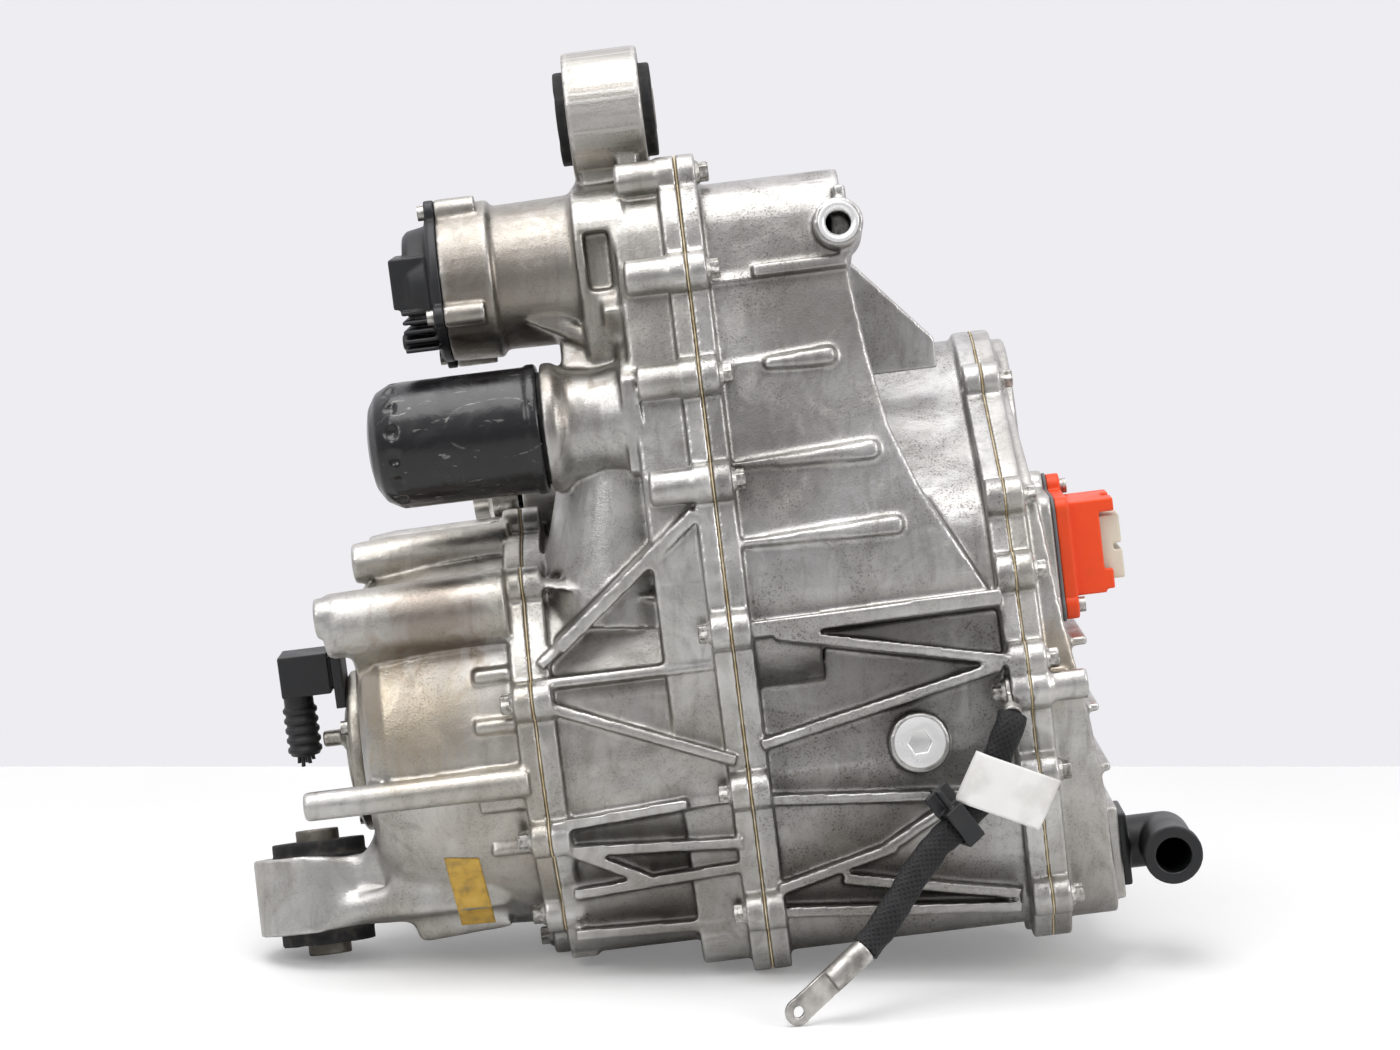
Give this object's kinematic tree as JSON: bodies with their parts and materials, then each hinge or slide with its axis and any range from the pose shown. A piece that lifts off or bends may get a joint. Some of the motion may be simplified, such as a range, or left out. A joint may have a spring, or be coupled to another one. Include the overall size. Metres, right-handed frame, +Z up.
{
  "type": "electric drive unit",
  "caption": "Electric drive unit: ribbed cast aluminium motor and gear housings with bushing eyes, holding a rotor, reduction gears, a differential, an oil pump and a filter.",
  "frame": {"origin": "middle of the unit's box on the floor, strap left out", "axes": "+Z up from the floor, +Y away from the viewer of the picture, +X to the picture's right; the shafts rise 7 degrees towards +X"},
  "size_m": [0.5679, 0.4085, 0.5474],
  "materials": {
    "cast_aluminium": "as-cast, stained",
    "machined_aluminium": "turned",
    "zinc_steel": "zinc plated, dull",
    "gear_steel": "ground",
    "bearing_steel": "polished",
    "lamination_steel": "stacked sheet",
    "copper": "enamelled copper",
    "black_plastic": "glass filled, moulded",
    "orange_plastic": "moulded",
    "cream_plastic": "moulded",
    "circuit_board": "lacquered board",
    "grey_seal": "moulded silicone",
    "black_rubber": "bonded rubber",
    "sealant": "cured sealant",
    "black_paint": "gloss paint, scuffed",
    "braid": "woven sleeve",
    "tinned_copper": "tinned",
    "magnet": "sintered"
  },
  "bodies": {
    "housing": {"left_housing": "cast_aluminium", "centre_housing": "cast_aluminium", "right_housing": "cast_aluminium", "end_cover": "cast_aluminium", "left_gasket": "sealant", "centre_gasket": "sealant", "right_gasket": "sealant", "left_flange_bolts": "zinc_steel", "centre_flange_bolts": "zinc_steel", "cover_bolts": "zinc_steel", "small_screws": "zinc_steel", "motor_end_cap": "cast_aluminium", "sensor_connector": "black_plastic", "sensor_plug": "black_plastic", "stator_core": "lamination_steel", "stator_winding": "copper", "rotor_bearing_left": "bearing_steel", "rotor_bearing_right": "bearing_steel", "lay_bearing_left": "bearing_steel", "lay_bearing_right": "bearing_steel", "differential_bearing_left": "bearing_steel", "differential_bearing_right": "bearing_steel", "left_output_bearing": "bearing_steel", "left_output_seal": "black_rubber", "right_output_seal": "black_rubber", "oil_pump_cover": "black_plastic", "pump_motor": "machined_aluminium", "oil_filter": "black_paint", "filter_gasket": "black_rubber", "filter_nipple": "zinc_steel", "upper_bushing_rubber": "black_rubber", "upper_bushing_sleeve": "zinc_steel", "lower_bushing_rubber": "black_rubber", "lower_bushing_sleeve": "zinc_steel", "fill_plug": "machined_aluminium", "hv_gasket": "grey_seal", "hv_connector": "orange_plastic", "hv_terminal_block": "cream_plastic", "coolant_elbow": "black_plastic", "inverter_board": "circuit_board", "power_module": "black_plastic", "ground_strap": "braid", "ground_lug": "tinned_copper", "strap_clip": "black_plastic"},
    "rotor": {"rotor_core": "lamination_steel", "rotor_shaft": "gear_steel", "sensor_magnet": "magnet"},
    "layshaft": {"lay_shaft": "gear_steel", "lay_gear": "gear_steel"},
    "differential": {"differential_case": "gear_steel", "ring_gear": "gear_steel", "ring_gear_bolts": "zinc_steel", "differential_pin": "zinc_steel"},
    "left_output": {"left_output_shaft": "machined_aluminium", "left_side_gear": "gear_steel"},
    "right_output": {"right_side_gear": "gear_steel"},
    "spider_upper": {"spider_gear_upper": "gear_steel"},
    "spider_lower": {"spider_gear_lower": "gear_steel"},
    "pump_rotor": {"pump_shaft": "zinc_steel"},
    "pump_ring": {"pump_outer_rotor": "zinc_steel"}
  },
  "joints": [
    {"name": "rotor_spin", "type": "hinge", "parent": "housing", "child": "rotor", "pos_m": [-0.102, -0.0268, 0.13436], "axis": [0.9925, 0, 0.1219], "continuous": true},
    {"name": "layshaft_spin", "type": "hinge", "parent": "housing", "child": "layshaft", "pos_m": [0.06019, -0.06885, 0.24122], "axis": [0.9925, 0, 0.1219], "continuous": true},
    {"name": "differential_spin", "type": "hinge", "parent": "housing", "child": "differential", "pos_m": [0.05799, 0.0432, 0.30009], "axis": [0.9925, 0, 0.1219], "continuous": true},
    {"name": "left_output_spin", "type": "hinge", "parent": "differential", "child": "left_output", "pos_m": [-0.00652, 0.0432, 0.29217], "axis": [0.9925, 0, 0.1219], "continuous": true},
    {"name": "right_output_spin", "type": "hinge", "parent": "differential", "child": "right_output", "pos_m": [0.08281, 0.0432, 0.30314], "axis": [0.9925, 0, 0.1219], "continuous": true},
    {"name": "spider_upper_spin", "type": "hinge", "parent": "differential", "child": "spider_upper", "pos_m": [0.05434, 0.0432, 0.32987], "axis": [-0.1219, 0, 0.9925], "continuous": true},
    {"name": "spider_lower_spin", "type": "hinge", "parent": "differential", "child": "spider_lower", "pos_m": [0.06165, 0.0432, 0.27031], "axis": [-0.1219, 0, 0.9925], "continuous": true},
    {"name": "pump_spin", "type": "hinge", "parent": "housing", "child": "pump_rotor", "pos_m": [-0.08017, -0.0518, 0.41612], "axis": [0.9925, 0, 0.1219], "continuous": true},
    {"name": "pump_ring_spin", "type": "hinge", "parent": "housing", "child": "pump_ring", "pos_m": [-0.08017, -0.0498, 0.41612], "axis": [0.9925, 0, 0.1219], "continuous": true}
  ],
  "couplings": [
    {"joint": "layshaft_spin", "follows": "rotor_spin", "ratio": -0.35211},
    {"joint": "differential_spin", "follows": "rotor_spin", "ratio": 0.11066},
    {"joint": "right_output_spin", "follows": "left_output_spin", "ratio": -1},
    {"joint": "spider_upper_spin", "follows": "left_output_spin", "ratio": 1.6},
    {"joint": "spider_lower_spin", "follows": "left_output_spin", "ratio": -1.6},
    {"joint": "pump_spin", "follows": "pump_ring_spin", "ratio": 1.25}
  ]
}
